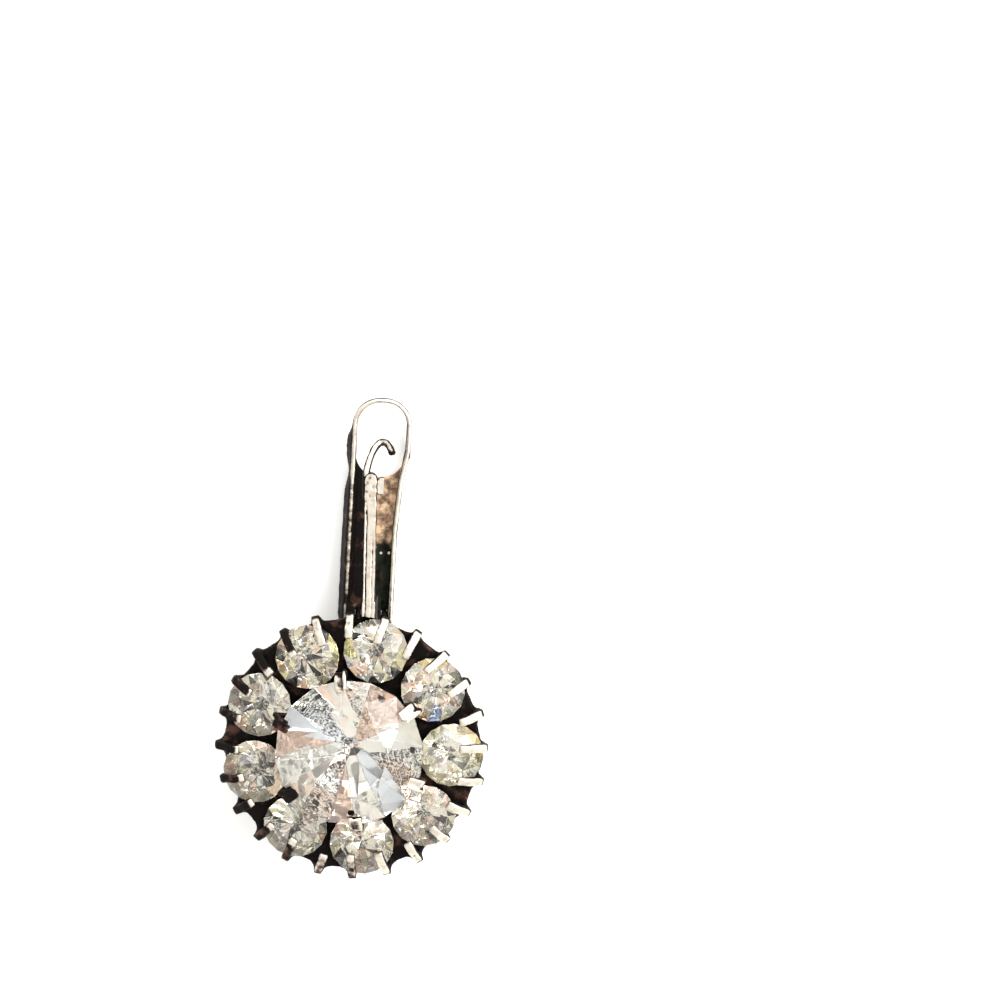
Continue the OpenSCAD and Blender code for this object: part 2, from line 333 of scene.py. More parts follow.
def points_of(mesh):
    flat = np.zeros(len(mesh.vertices) * 3, np.float32)
    mesh.vertices.foreach_get("co", flat)
    return flat.reshape(-1, 3).astype(float)


def set_points(mesh, points):
    mesh.vertices.foreach_set("co", points.astype(np.float32).ravel())
    mesh.update()


def normals_of(mesh):
    flat = np.zeros(len(mesh.vertices) * 3, np.float32)
    mesh.vertices.foreach_get("normal", flat)
    return flat.reshape(-1, 3).astype(float)


class Neighbours:
    """Which vertices share an edge, for averaging over the surface."""

    def __init__(self, mesh):
        ends = np.zeros(len(mesh.edges) * 2, np.int32)
        mesh.edges.foreach_get("vertices", ends)
        self.first, self.second = ends.reshape(-1, 2).T
        self.size = len(mesh.vertices)
        self.count = np.maximum(np.bincount(ends, minlength=self.size), 1)

    def mean(self, values):
        total = (np.bincount(self.first, values[self.second], self.size)
                 + np.bincount(self.second, values[self.first], self.size))
        return total / self.count

    def relaxed(self, values, share, times):
        values = values.copy()
        for _ in range(times):
            if values.ndim == 1:
                values += share * (self.mean(values) - values)
            else:
                values += share * (np.stack([self.mean(v) for v in values.T], 1) - values)
        return values


def cloud(points, size, seed):
    """Smooth noise from about -1 to 1 at each point, with patches of the given size."""
    shift = Vector((seed * 7.31, seed * 3.17, seed * 5.03))
    return np.array([noise.noise(Vector(p) / size + shift) for p in points.tolist()])


def read_wear(mesh, near, edge_depth, hollow_depth):
    """Stores how far each place stands proud of its surroundings, for the worn edges and the recesses."""
    points = points_of(mesh)
    normals = normals_of(mesh)
    close = np.einsum("ij,ij->i", points - near.relaxed(points, 0.9, 10), normals)
    wide = np.einsum("ij,ij->i", points - near.relaxed(points, 0.9, 60), normals)
    store(mesh, "edge", np.clip(near.relaxed(close, 0.5, 2) / edge_depth, 0, 1))
    store(mesh, "hollow", np.clip(-near.relaxed(wide, 0.5, 2) / hollow_depth, 0, 1))


def crown_of(mesh, near, times, direction=(0, 0, 1)):
    """How squarely each place faces the direction, after the normals are averaged over the surface."""
    normals = near.relaxed(normals_of(mesh), 0.9, times)
    normals /= np.maximum(np.linalg.norm(normals, axis=1), 1e-6)[:, None]
    return normals @ np.array(Vector(direction).normalized())


def store(mesh, name, values):
    attribute = mesh.attributes.new(name, "FLOAT", "POINT")
    attribute.data.foreach_set("value", values.astype(np.float32))


def fewer_faces(mesh, most):
    """The same mesh with its flatter places thinned out, down to the given number of triangles."""
    carrier = bpy.data.objects.new("fewer", mesh)
    bpy.context.scene.collection.objects.link(carrier)
    thin = carrier.modifiers.new("fewer", "DECIMATE")
    thin.ratio = most / sum(len(face.vertices) - 2 for face in mesh.polygons)
    graph = bpy.context.evaluated_depsgraph_get()
    fewer = bpy.data.meshes.new_from_object(carrier.evaluated_get(graph), preserve_all_data_layers=True,
                                            depsgraph=graph)
    bpy.data.objects.remove(carrier)
    bpy.data.meshes.remove(mesh)
    return without_scraps(fewer)


def without_scraps(mesh):
    """The same mesh, less the loose scraps that remaking and thinning leave beside its one large shell."""
    near = Neighbours(mesh)
    shell = np.arange(near.size)
    while True:
        lowest = shell.copy()
        np.minimum.at(lowest, near.first, shell[near.second])
        np.minimum.at(lowest, near.second, shell[near.first])
        lowest = lowest[lowest]
        if (lowest == shell).all():
            break
        shell = lowest
    scraps = np.flatnonzero(shell != np.bincount(shell).argmax())
    whole = bmesh.new()
    whole.from_mesh(mesh)
    whole.verts.ensure_lookup_table()
    bmesh.ops.delete(whole, geom=[whole.verts[k] for k in scraps], context="VERTS")
    whole.to_mesh(mesh)
    whole.free()
    return mesh


def finish_metal(mesh, name, node, body, material):
    """Turns a mesh in millimetres into the piece that stands for the node, inside the CAD model's box."""
    set_points(mesh, np.clip(points_of(mesh), *(np.array(cad_box) / MM)))
    mesh.transform(Matrix.Scale(MM, 4))
    mesh.name = name
    mesh.polygons.foreach_set("use_smooth", np.ones(len(mesh.polygons), bool))
    mesh.materials.clear()
    mesh.materials.append(material)
    piece = bpy.data.objects.new(name, mesh)
    bpy.context.scene.collection.objects.link(piece)
    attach(piece, body)
    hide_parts(node)
    return piece


def oxidised_silver(name, stained=False):
    """Dark silver: rubbed bright on the crests and edges, black oxide in the recesses, with coppery
    patches. Painted shade from an ambient occlusion node darkens the recesses and dims the worn silver
    there, and the crest attribute carries painted light as well as wear.
    """
    metal = bpy.context.scene.earring_metal
    f = Finish(name)
    edge = f.attribute("edge")
    hollow = f.attribute("hollow")
    # Rubbed wear together with painted light: prongs and rims lighter on the key lamp's side and darker on
    # the other, and painted highlights on the prongs and the hook wire.
    crest = f.attribute("crest")
    patches = f.noise(1.1, 4)
    grain = f.noise(0.22, 3)
    fine = f.noise(0.06, 2)
    # Painted shade: the ambient occlusion darkens the metal towards the recess colour and dims the worn
    # silver wherever shade falls, on top of the real black oxide in the hollows.
    ao_shade = f.node("ShaderNodeAmbientOcclusion", {"samples": 4},
                     {"Distance": 1.3 * MM}, output="AO")
    ao_unshaded = ao_shade.between(0.15, 0.8)
    wear = (crest * 0.75 + edge * (0.25 + crest * 0.5) + (grain - 0.5) * 0.5
            + (patches - 0.5) * 0.4).between(0.28, 0.62)
    base = f.blend(patches.between(0.54, 0.7) * 0.6, rgba(metal.oxide), rgba(metal.copper))
    base = f.blend((1 - ao_unshaded + hollow * 0.5).at_most_one(), base, rgba(metal.recess_oxide_and_shade))
    if stained:
        stain = f.attribute("stain")
        blots = f.noise(0.6, 4, 0.6)
        gold = stain * (blots.between(0.38, 0.52) * 0.65 + 0.35)
        base = f.blend(f.attribute("low_stain") * blots.between(0.35, 0.6), base, rgba(metal.verdigris))
        brown = f.blend(blots.between(0.62, 0.5) * 0.6, rgba(metal.stain), rgba(metal.copper))
        base = f.blend(gold, base, brown)
    film = (f.noise(0.5, 4, 0.6).between(0.46, 0.7) * 0.55 + (1 - wear) * 0.5).at_most_one()
    worn = f.blend(film, rgba(metal.bright), rgba(metal.tarnish))
    colour = f.blend(wear * (0.25 + ao_unshaded * 0.75), base, worn)
    rough = 0.52 - wear * 0.22 + (grain - 0.5) * 0.25
    bump = f.node("ShaderNodeBump", {}, {
        "Strength": 0.5, "Distance": 0.02 * MM, "Height": grain + fine * 0.4}, output="Normal")
    return f.surface({"Base Color": colour, "Metallic": 0.15 + wear * 0.85, "Roughness": rough,
                      "Specular IOR Level": 0.03, "Normal": bump})


def ramp(values, low, high):
    """0 below low, 1 above high, with a smooth rise between them. It falls if low is above high."""
    share = np.clip((values - low) / (high - low), 0, 1)
    return share * share * (3 - 2 * share)


class EARRING_OT_setting(bpy.types.Operator):
    """The claw setting, with each prong a little uneven as a hand leaves it"""

    bl_idname = "earring.setting"
    bl_label = "Setting"

    def execute(self, context):
        mesh = even_mesh("setting", SETTING_VOXEL)
        near = Neighbours(mesh)
        points = near.relaxed(points_of(mesh), 0.5, 2)
        points = self.uneven_prongs(points)
        set_points(mesh, points)
        normals = normals_of(mesh)
        rough = cloud(points, 0.9, 1) * 0.035 + cloud(points, 0.35, 2) * 0.018
        lugs = (points[:, 1] > CLUSTER_Y + HINGE_Y - LUG_REACH) & (points[:, 2] < LUG_TOP)
        rough[lugs] = 0.02 + 0.04 * self.upper_sides(points[lugs], normals[lugs])
        points += normals * rough[:, None]
        set_points(mesh, points)
        read_wear(mesh, near, edge_depth=0.05, hollow_depth=0.16)
        store(mesh, "crest", near.relaxed(self.rubbed_and_lit(points, normals), 0.5, 2))
        mesh = fewer_faces(mesh, MOST_TRIANGLES)
        finish_metal(mesh, "claw_setting", "setting", "head", oxidised_silver("dark_silver_claws"))
        return {"FINISHED"}

    def upper_sides(self, points, normals):
        """1 on the lugs' upper sides in front of the pin."""
        return ramp(normals[:, 1], 0.3, 0.7) * ramp(points[:, 2], HINGE_Z - 0.2, HINGE_Z)

    def uneven_prongs(self, points):
        """Each prong ends a little to one side, and a little short or long."""
        choice = np.random.default_rng(PRONG_SEED)
        radius, angle = around_cluster(points)
        for i in range(PRONG_COUNT):
            off = (angle - PRONG_TURN - i * PRONG_STEP + 180) % 360 - 180
            share = (ramp(np.abs(off), *PRONG_HALF_ANGLES) * ramp(radius, *PRONG_RADII)
                     * ramp(points[:, 2], *PRONG_HEIGHTS))
            aside, inward, lift = choice.uniform(*PRONG_UNEVENNESS)
            out = np.radians(PRONG_TURN + i * PRONG_STEP)
            points[:, 0] += share * (-math.sin(out) * aside - math.cos(out) * inward)
            points[:, 1] += share * (math.cos(out) * aside - math.sin(out) * inward)
            points[:, 2] += share * lift
        return points

    def rubbed_and_lit(self, points, normals):
        """How far the oxide is rubbed off, with painted light: the prongs of the right side are made
        lighter because the key lamp lights them from the right, and each outer prong gets a painted
        highlight near its inner end.
        """
        radius, angle = around_cluster(points)
        facing = ramp(normals[:, 2], 0.25, 0.75)
        outer_tips = ramp(points[:, 2], 6.35, 6.8) * ramp(radius, 6.0, 6.4)
        centre_tips = ramp(points[:, 2], 8.1, 8.35)
        choice = np.random.default_rng(RUBBING_SEED)
        # Painted light: prongs towards the right are lighter and those towards the left darker, as the key
        # lamp falls from the right.
        lit_side = 0.32 + 0.62 * np.cos(np.radians(angle - 5))
        # Painted highlights: a bright bead on each outer prong near its inner end.
        highlight_beads = 0.85 * ramp(radius, 7.15, 6.8)
        amount = np.zeros(len(points))
        for count, turn, tips in ((PRONG_COUNT, PRONG_TURN, outer_tips),
                                  (CENTRE_PRONG_COUNT, 90 + RING_TURN, centre_tips)):
            nearest = np.round((angle - turn) / (360 / count)).astype(int) % count
            luck = choice.uniform(-0.22, 0.22, count)
            share = np.clip(lit_side + luck[nearest], 0, 1)
            if tips is outer_tips:
                share = np.maximum(share, highlight_beads * (0.7 + luck[nearest]))
            amount = np.maximum(amount, tips * share)
        return facing * amount


def around_cluster(points):
    """Distance in millimetres from the middle of the cluster, and angle in degrees."""
    x, y = points[:, 0], points[:, 1] - CLUSTER_Y
    return np.hypot(x, y), np.degrees(np.arctan2(y, x))


class EARRING_OT_ear_hook(bpy.types.Operator):
    """The front bar with its hammered face, its leaf and the wire hook"""

    bl_idname = "earring.ear_hook"
    bl_label = "Ear hook"

    def execute(self, context):
        mesh = even_mesh("ear_hook", HOOK_VOXEL)
        near = Neighbours(mesh)
        points = near.relaxed(points_of(mesh), 0.5, 2)
        set_points(mesh, points)
        normals = normals_of(mesh)
        across, along = points[:, 0] - STEM_X, points[:, 1] - CLUSTER_Y
        on_bar = ramp(points[:, 2], BAR_BACK + 0.3, BAR_BACK + 0.5) * ramp(np.abs(across), 0.42, 0.36)
        on_bar *= ramp(along, BAR_TOP + 0.1, BAR_TOP)
        hammered = on_bar * ramp(along, *HAMMERED_FROM)
        rough = cloud(points, 0.7, 3) * 0.03 + cloud(points, 0.3, 4) * (0.015 + hammered * 0.02)
        wander = cloud(points * (0, 1, 0), 1.6, 8) * 0.05
        left = self.groove(across + wander, *LEFT_GROOVE)
        right = self.groove(across + wander, *RIGHT_GROOVE)
        groove = np.maximum(left, 0.7 * right * ramp(along, 13.5, 12.5))
        groove *= on_bar * ramp(along, 15.6, 14.2)
        points += normals * (rough - GROOVE_DEPTH * groove)[:, None]
        set_points(mesh, points)
        read_wear(mesh, near, edge_depth=0.03, hollow_depth=0.1)
        bar = ramp(crown_of(mesh, near, 3), 0.75, 0.95) * ramp(points[:, 2], 5.6, 6.2)
        bar *= 1 - 0.8 * groove
        bar *= 1 - hammered * 0.45 * ramp(cloud(points, 0.3, 4), 0.0, -0.3)
        # A painted highlight on the wire above the bar, and rubbed wear on the bar's front.
        crest = np.where(along > BAR_TOP, self.wire_highlight_and_rub(points, normals_of(mesh)), bar)
        store(mesh, "crest", near.relaxed(crest, 0.5, 1))
        finish_metal(mesh, "hook_and_bar", "ear_hook", "head", oxidised_silver("dark_silver_hook"))
        return {"FINISHED"}

    def groove(self, across, middle, width):
        """1 along the bottom of a groove, and 0 away from it."""
        return np.exp(-((across - middle) / width) ** 2)

    def wire_highlight_and_rub(self, points, normals):
        """A painted highlight along the front of the bent wire, where it faces up to the lamps, together
        with rubbed metal, up to its dark end.
        """
        start, turn = math.radians(HOOK_START), math.radians(HOOK_TURN)
        outwards = np.array((-math.sin(turn), 0, math.cos(turn)))
        along = np.array((0, 1, 0))
        middle = (np.array((WIRE_X, CLUSTER_Y + BAR_TOP + 0.02 - HOOK_RADIUS * math.sin(start), WIRE_Z))
                  - outwards * HOOK_RADIUS * math.cos(start))
        bend = np.arctan2((points - middle) @ along, (points - middle) @ outwards)[:, None]
        tangent = np.cos(bend) * along - np.sin(bend) * outwards
        front = np.array((0.0, 0.2, 0.98)) - (tangent @ np.array((0.0, 0.2, 0.98)))[:, None] * tangent
        front /= np.linalg.norm(front, axis=1)[:, None]
        facing = np.einsum("ij,ij->i", normals, front)
        bend = np.degrees(bend[:, 0])
        strength = 0.8 - 0.4 * ramp(bend, 45, 100)
        return ramp(facing, 0.72, 0.96) * ramp(bend, HOOK_END - 2, HOOK_END - 14) * strength


class EARRING_OT_lever(bpy.types.Operator):
    """The sheet-metal lever with its open loop, its window and the stain inside"""

    bl_idname = "earring.lever"
    bl_label = "Lever"

    def execute(self, context):
        mesh = even_mesh("lever", LEVER_VOXEL)
        near = Neighbours(mesh)
        points = near.relaxed(points_of(mesh), 0.5, 4)
        across, along, front = lever_places(points).T
        proud = np.clip(LEVER_LEFT - across, 0, None) * ramp(front, 0.6, 0.3)
        dip = DIP_SHARE * np.exp(-((along - DIP_MIDDLE) / DIP_WIDTH) ** 2)
        inwards = proud * np.maximum(ramp(along, *FLARE_END), dip)
        points += inwards[:, None] * lever_turn()[:, 0]
        flank = ramp(np.abs(rim_depth(across, along) - RIM_MIDDLE), 0.03, 0.16)
        flank *= ramp(front, 0.35, 0.55)
        points -= 0.07 * flank[:, None] * lever_turn()[:, 2]
        points += self.close_fit(across, along, front, normals_of(mesh) @ lever_turn())
        set_points(mesh, points)
        normals = normals_of(mesh)
        rough = cloud(points, 1.2, 5) * 0.03 + cloud(points, 0.4, 6) * 0.015
        points += normals * rough[:, None]
        set_points(mesh, points)
        read_wear(mesh, near, edge_depth=0.035, hollow_depth=0.12)
        across, along, front = lever_places(points).T
        # Painted shade: the left rim is made darker below the loop, where the left wall is turned away from
        # the key lamp.
        left = ramp(across, 0.5, -0.5)
        lit_side = 1 - left * (0.25 * ramp(along, 11.5, 10) + 0.58 * ramp(along, 9.8, 8.2))
        off = np.abs(rim_depth(across, along) - RIM_MIDDLE + cloud(points, 1.5, 9) * 0.03)
        crest = ramp(front, 0.42, 0.52) * ramp(off, 0.13, 0.07) * lit_side
        for dot_across, dot_along in BRIGHT_DOTS:
            dot = np.hypot(across - dot_across, along - dot_along)
            crest = np.maximum(crest, ramp(dot, 0.13, 0.06) * ramp(front, 0.2, 0.0))
        store(mesh, "crest", near.relaxed(np.clip(crest, 0, 1), 0.5, 1))
        inside = ramp(front, 0.45, 0.2) * ramp(across, -0.6, 0.2)
        edge = along + cloud(points, 0.9, 7) * 0.7 + cloud(points, 0.3, 12) * 0.4
        store(mesh, "stain", inside * ramp(edge, *GOLD_FROM) * ramp(along, *GOLD_TO))
        store(mesh, "low_stain", inside * ramp(edge, *VERDIGRIS_TO))
        finish_metal(mesh, "lever_tray", "lever", "lever",
                     oxidised_silver("dark_silver_lever", stained=True))
        return {"FINISHED"}

    def close_fit(self, across, along, front, normals):
        """Fills the tray out towards the hinge's lugs, where hand-fitted metal leaves only a hairline."""
        low = ramp(along, 1.2, 0.95)
        left = 0.43 * low * ramp(normals[:, 0], 0.3, 0.7) * ramp(across, -1.15, -1.25)
        right = 0.02 * low * ramp(normals[:, 0], -0.3, -0.7) * ramp(across, 0.8, 0.9)
        end = 0.17 * ramp(normals[:, 1], -0.2, -0.6) * ramp(front, -0.1, -0.2) * ramp(along, 0.6, 0.65)
        return np.outer(left - right, lever_turn()[:, 0]) - np.outer(end * low, lever_turn()[:, 1])


def rim_depth(across, along):
    """Distance from the lever's outline inwards, in millimetres."""
    right = LEVER_LEFT + np.interp(along, (TRAY_BEND_LOW, TRAY_BEND_HIGH, LOOP_LOW),
                                   (TRAY_WIDTH, BEND_WIDTH, LEVER_WIDTH))
    sides = np.minimum(across - LEVER_LEFT, right - across)
    low = LEVER_TOP - CORNER_RADIUS
    flat = np.clip(across, LEVER_LEFT + CORNER_RADIUS, LEVER_LEFT + LEVER_WIDTH - CORNER_RADIUS)
    return np.where(along > low, CORNER_RADIUS - np.hypot(across - flat, along - low), sides)


def lever_turn():
    return np.array(Matrix.Rotation(math.radians(-LEVER_LEAN), 3, "Z")
                    @ Matrix.Rotation(math.radians(LEVER_TWIST), 3, "Y")
                    @ Matrix.Rotation(math.radians(-LEVER_SLOPE), 3, "X"))


def lever_places(points):
    """Points in millimetres as across, along and towards the front of the closed lever."""
    hinge = np.array([HINGE_X, CLUSTER_Y + HINGE_Y, HINGE_Z])
    return (points - hinge) @ lever_turn()


class EARRING_OT_hinge_pin(bpy.types.Operator):
    """The hinge pin with its peened ends"""

    bl_idname = "earring.hinge_pin"
    bl_label = "Hinge pin"

    def execute(self, context):
        mesh = even_mesh("hinge_pin", PIN_VOXEL)
        near = Neighbours(mesh)
        set_points(mesh, near.relaxed(points_of(mesh), 0.5, 2))
        read_wear(mesh, near, edge_depth=0.03, hollow_depth=0.1)
        store(mesh, "crest", np.zeros(len(mesh.vertices)))
        finish_metal(mesh, "peened_pin", "hinge_pin", "head", oxidised_silver("dark_silver_pin"))
        return {"FINISHED"}


# Stones: brilliant cuts with true facets, a clear crown and a pavilion that throws light back, with
# reflections and shade painted on its facets

GIRDLE = 0.1
CROWN_SHARE = 0.145
PAVILION_SHARE = 0.41
CULET_SHARE = 0.035
LOW_TIP_SHARE = 0.24
FACET_EDGE = 0.012

# Where each ring of corners begins in a cut stone's list, from the table down to the culet
RING_STARTS = (0, 8, 16, 32, 48, 56)


def ring(count, radius, height, turn=0.0):
    return [Vector((radius * math.cos(math.radians(turn + i * 360 / count)),
                    radius * math.sin(math.radians(turn + i * 360 / count)), height))
            for i in range(count)]


PAVILION_KINDS = ("lower", "main", "heart", "culet")


def brilliant(width, table_share):
    """Corners in millimetres, and faces with the kind of facet each is."""
    r = width / 2
    half = GIRDLE / 2
    table_r = r * table_share
    crown = width * CROWN_SHARE
    pavilion = width * PAVILION_SHARE
    star_r = (r + table_r) / 2
    lean = math.cos(math.radians(22.5))
    star_z = crown * (r - star_r * lean) / (r - table_r)
    low_r = LOW_TIP_SHARE * r
    low_z = pavilion * (1 - low_r * lean / r)
    culet_r = CULET_SHARE * r
    culet_z = pavilion * (1 - culet_r * lean / r)
    corners = (ring(8, table_r, half + crown) + ring(8, star_r, half + star_z, 22.5)
               + ring(16, r, half) + ring(16, r, -half)
               + ring(8, low_r, -half - low_z, 22.5) + ring(8, culet_r, -half - culet_z, 22.5))
    table, star, high, low, tip, culet = RING_STARTS
    faces = [([table + i for i in range(8)], "table"),
             ([culet + i for i in reversed(range(8))], "culet")]
    for i in range(8):
        j = (i + 1) % 8
        before = (i - 1) % 8
        here, middle, after = 2 * i, 2 * i + 1, (2 * i + 2) % 16
        faces += [([table + i, star + i, table + j], "star"),
                  ([table + i, star + before, high + here, star + i], "kite"),
                  ([star + i, high + here, high + middle], "upper"),
                  ([star + i, high + middle, high + after], "upper"),
                  ([high + here, low + here, low + middle, high + middle], "girdle"),
                  ([high + middle, low + middle, low + after, high + after], "girdle"),
                  ([tip + i, low + middle, low + here], "lower"),
                  ([tip + i, low + after, low + middle], "lower"),
                  ([culet + before, culet + i, tip + i, low + here, tip + before], "main")]
    return corners, faces


def with_heart(corners, faces):
    """The same cut with a ring of small facets about the culet."""
    tip, culet = RING_STARTS[4:]
    heart = len(corners)
    corners = corners + [corners[culet + i].lerp(corners[tip + i], 0.5) for i in range(8)]
    split = []
    for corner, kind in faces:
        if kind == "main":
            before, here, *rest = corner
            i, j = before - culet, here - culet
            split += [([heart + i, heart + j, *rest], "main"),
                      ([before, here, heart + j, heart + i], "heart")]
        else:
            split.append((corner, kind))
    return corners, split


def broken_pavilion(corners, faces, width, seed):
    """The same cut with a pavilion of many small uneven facets, which break up what they mirror."""
    choice = np.random.default_rng(seed)
    r = width / 2
    depth = width * PAVILION_SHARE
    low, tip, culet = RING_STARTS[3:]
    middle = len(corners)
    corners = list(corners)
    aside = Vector((*choice.uniform(-0.07, 0.07, 2) * r, 0))
    for i in range(tip, middle):
        corners[i] = corners[i] + aside
    for i in range(16):
        share = 0.6 + choice.uniform(-0.09, 0.09)
        turn = math.radians(11.25 + i * 22.5 + choice.uniform(-5, 5))
        drop = depth * (1 - share) * choice.uniform(0.86, 0.99)
        corners.append(Vector((r * share * math.cos(turn), r * share * math.sin(turn),
                               -GIRDLE / 2 - drop)))
    faces = [(corner, kind) for corner, kind in faces if kind not in ("lower", "main")]
    for i in range(16):
        here, after = middle + i, middle + (i + 1) % 16
        faces += [([here, low + (i + 1) % 16, low + i], "lower"),
                  ([here, after, low + (i + 1) % 16], "lower")]
    for k in range(8):
        first, second, third = (middle + (2 * k + n) % 16 for n in range(3))
        j = (k + 1) % 8
        faces += [([tip + k, second, first], "main"), ([tip + k, third, second], "main"),
                  ([tip + k, tip + j, third], "main"),
                  ([culet + k, culet + j, tip + j, tip + k], "heart")]
    return corners, faces


# The colours painted on the facets as reflections, and the share of the facets that each takes in the
# centre and outer stones
FACET_COLOURS = ("white", "cool", "cream", "grey", "pink")
CENTRE_SHARES = (0.5, 0.14, 0.14, 0.1, 0.12)
OUTER_SHARES = (0.49, 0.05, 0.32, 0.04, 0.1)


def painted_facet_colours(cut, seed, shares, mottled, shaded, flashing, flashes):
    """A painted reflection colour for each facet, with how mottled it is as the fourth number.

    The share called shaded gets the dark colour, a painted dark reflection. A flash, a painted coloured
    reflection, is a colour, how mottled it is, the direction in degrees in which it lies from the stone's
    middle, and how many degrees to each side it reaches. It colours the facets of the flashing kinds.
    """
    corners, faces = cut
    stones = bpy.context.scene.earring_stones
    colours = [getattr(stones, name) for name in FACET_COLOURS]
    choice = np.random.default_rng(seed)
    reflection_tints = []
    for corner, kind in faces:
        picked = colours[choice.choice(len(colours), p=shares)]
        light = choice.uniform(0.88, 1.03)
        luck = choice.random()
        if kind in ("table", "girdle"):
            reflection_tints.append([1, 1, 1, 0])
        elif kind in PAVILION_KINDS and luck < shaded:
            reflection_tints.append([*stones.dark, 0])
        elif kind == "heart" and mottled:
            reflection_tints.append([*picked, 2 * float(luck > 0.3)])
        else:
            reflection_tints.append([min(1.0, c * light) for c in picked] + [float(luck > 1 - mottled)])
        middle = sum((corners[c] for c in corner), Vector()) / len(corner)
        heading = math.degrees(math.atan2(middle.y, middle.x))
        for colour, mottle, direction, spread in flashes:
            aside = abs((heading - direction + 180) % 360 - 180)
            if kind in flashing and aside < spread:
                reflection_tints[-1] = [*getattr(stones, colour), mottle]
    return reflection_tints


def cut_stone(name, node, place, reflection_tints, cut, materials):
    """One cut stone in its seat, standing for the node."""
    corners, faces = cut
    mesh = bpy.data.meshes.new(name)
    mesh.from_pydata([place @ c for c in corners], [], [f for f, _ in faces])
    for material in materials:
        mesh.materials.append(material)
    layer = mesh.color_attributes.new("tint", "FLOAT_COLOR", "CORNER")
    for face, (_, kind), tint in zip(mesh.polygons, faces, reflection_tints):
        face.use_smooth = False
        face.material_index = 1 if kind in PAVILION_KINDS else 0
        for corner in face.loop_indices:
            layer.data[corner].color = tint
    soften_facets(mesh, FACET_EDGE)
    mesh.transform(Matrix.Scale(MM, 4))
    piece = bpy.data.objects.new(name, mesh)
    bpy.context.scene.collection.objects.link(piece)
    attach(piece, "head")
    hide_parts(node)
    return piece


def soften_facets(mesh, width):
    """Takes the edges between facets off by a hair, so that they catch the light."""
    build = bmesh.new()
    build.from_mesh(mesh)
    bmesh.ops.bevel(build, geom=list(build.edges), offset=width, segments=1, affect="EDGES")
    build.to_mesh(mesh)
    build.free()


def crystal_materials(prefix, speck, waviness, mirror):
    """The clear crown and the pavilion of a stone, with painted dark reflections as mottles of the given
    size in millimetres.

    The higher the share called mirror, the more the pavilion throws back like a mirror. The pavilion's
    colour paints reflections: each facet's painted colour, greyer clouds and the dark mottles; the crown
    lets half of the facet colour through.
    """
    stones = bpy.context.scene.earring_stones
    clear = Finish(prefix + "_crown")
    tint = clear.attribute("tint", "Color")
    waves = clear.node("ShaderNodeBump", {}, {
        "Strength": waviness, "Distance": speck * 0.12 * MM, "Height": clear.noise(speck * 2.5, 2)},
        output="Normal")
    crown = clear.surface({"Base Color": clear.blend(0.5, tint, (1, 1, 1, 1)),
                           "Roughness": clear.noise(0.7, 3) * 0.02, "Normal": waves,
                           "IOR": 1.54, "Transmission Weight": 1.0})
    foil = Finish(prefix + "_pavilion")
    tint = foil.attribute("tint", "Color")
    cloudy = foil.noise(speck * 3, 4, 0.6)
    specks = foil.noise(speck, 4, 0.6, 1.5)
    # Painted reflections: the facet colour, greyed in clouds, and the dark mottles below stand for what the
    # facets mirror.
    colour = foil.blend(cloudy.between(0.45, 0.75) * 0.25, tint, rgba(stones.grey))
    mottled = foil.attribute("tint", "Alpha")
    patches = (foil.noise(speck * 3.5, 2).between(0.44, 0.52) + mottled - 1).at_most_one()
    mottles = mottled.at_most_one() * patches * specks.between(0.47, 0.53)
    colour = foil.blend(mottles, colour, rgba(stones.dark))
    pavilion = foil.surface({"Base Color": colour, "Metallic": mirror, "Roughness": 0.01 + cloudy * 0.04})
    return crown, pavilion


def in_cluster():
    return Matrix.Translation((0, CLUSTER_Y, 0))


# Painted reflections and glints of the centre stone: colour, how mottled it is, its direction from the
# stone's middle and its reach to each side in degrees
CENTRE_FLASHES = (
    ("pink", 0, -103, 13), ("pink", 0, 43, 15), ("cool", 2, 121, 18), ("white", 0, 182, 14),
    ("pink", 0, 163, 7),
    ("white", 2, -22, 12), ("cool", 0, -52, 14), ("white", 1.7, -130, 16), ("white", 1.4, 75, 10),
)


class EARRING_OT_centre_stone(bpy.types.Operator):
    """The raised centre stone"""

    bl_idname = "earring.centre_stone"
    bl_label = "Centre stone"

    def execute(self, context):
        place = (in_cluster() @ Matrix.Translation((0, 0, CENTRE_HEIGHT))
                 @ Matrix.Rotation(math.radians(RING_TURN), 4, "Z"))
        stones = context.scene.earring_stones
        width = stones.centre_width / MM
        cut = with_heart(*brilliant(width, stones.table_share))
        reflection_tints = painted_facet_colours(cut, CENTRE_TINT_SEED, CENTRE_SHARES, mottled=0.12, shaded=0.05,
                            flashing=("lower", "main"), flashes=CENTRE_FLASHES)
        cut_stone("centre_crystal", "centre_stone", place, reflection_tints, cut,
                  crystal_materials("centre_crystal", speck=0.3, waviness=0.15, mirror=0.66))
        return {"FINISHED"}


# Painted reflections and glints for each outer stone: colour, direction from the stone's middle and reach
# to each side in degrees
OUTER_FLASHES = (
    (("spark", 15, 24), ("pink", 205, 12)),
    (("spark", 172, 26), ("pink", 222, 14)),
    (("amber", 92, 26), ("blue", -78, 12)),
    (("amber", 28, 36), ("cream", 190, 90)),
    (("pink", 25, 18), ("white", 200, 50)),
    (("pink", 150, 20), ("cream", 20, 40)),
    (("spark", 80, 8), ("cream", 250, 60)),
    (("cream", 300, 40), ("pink", 175, 12)),
    (("pink", 228, 18), ("white", 30, 40)),
)


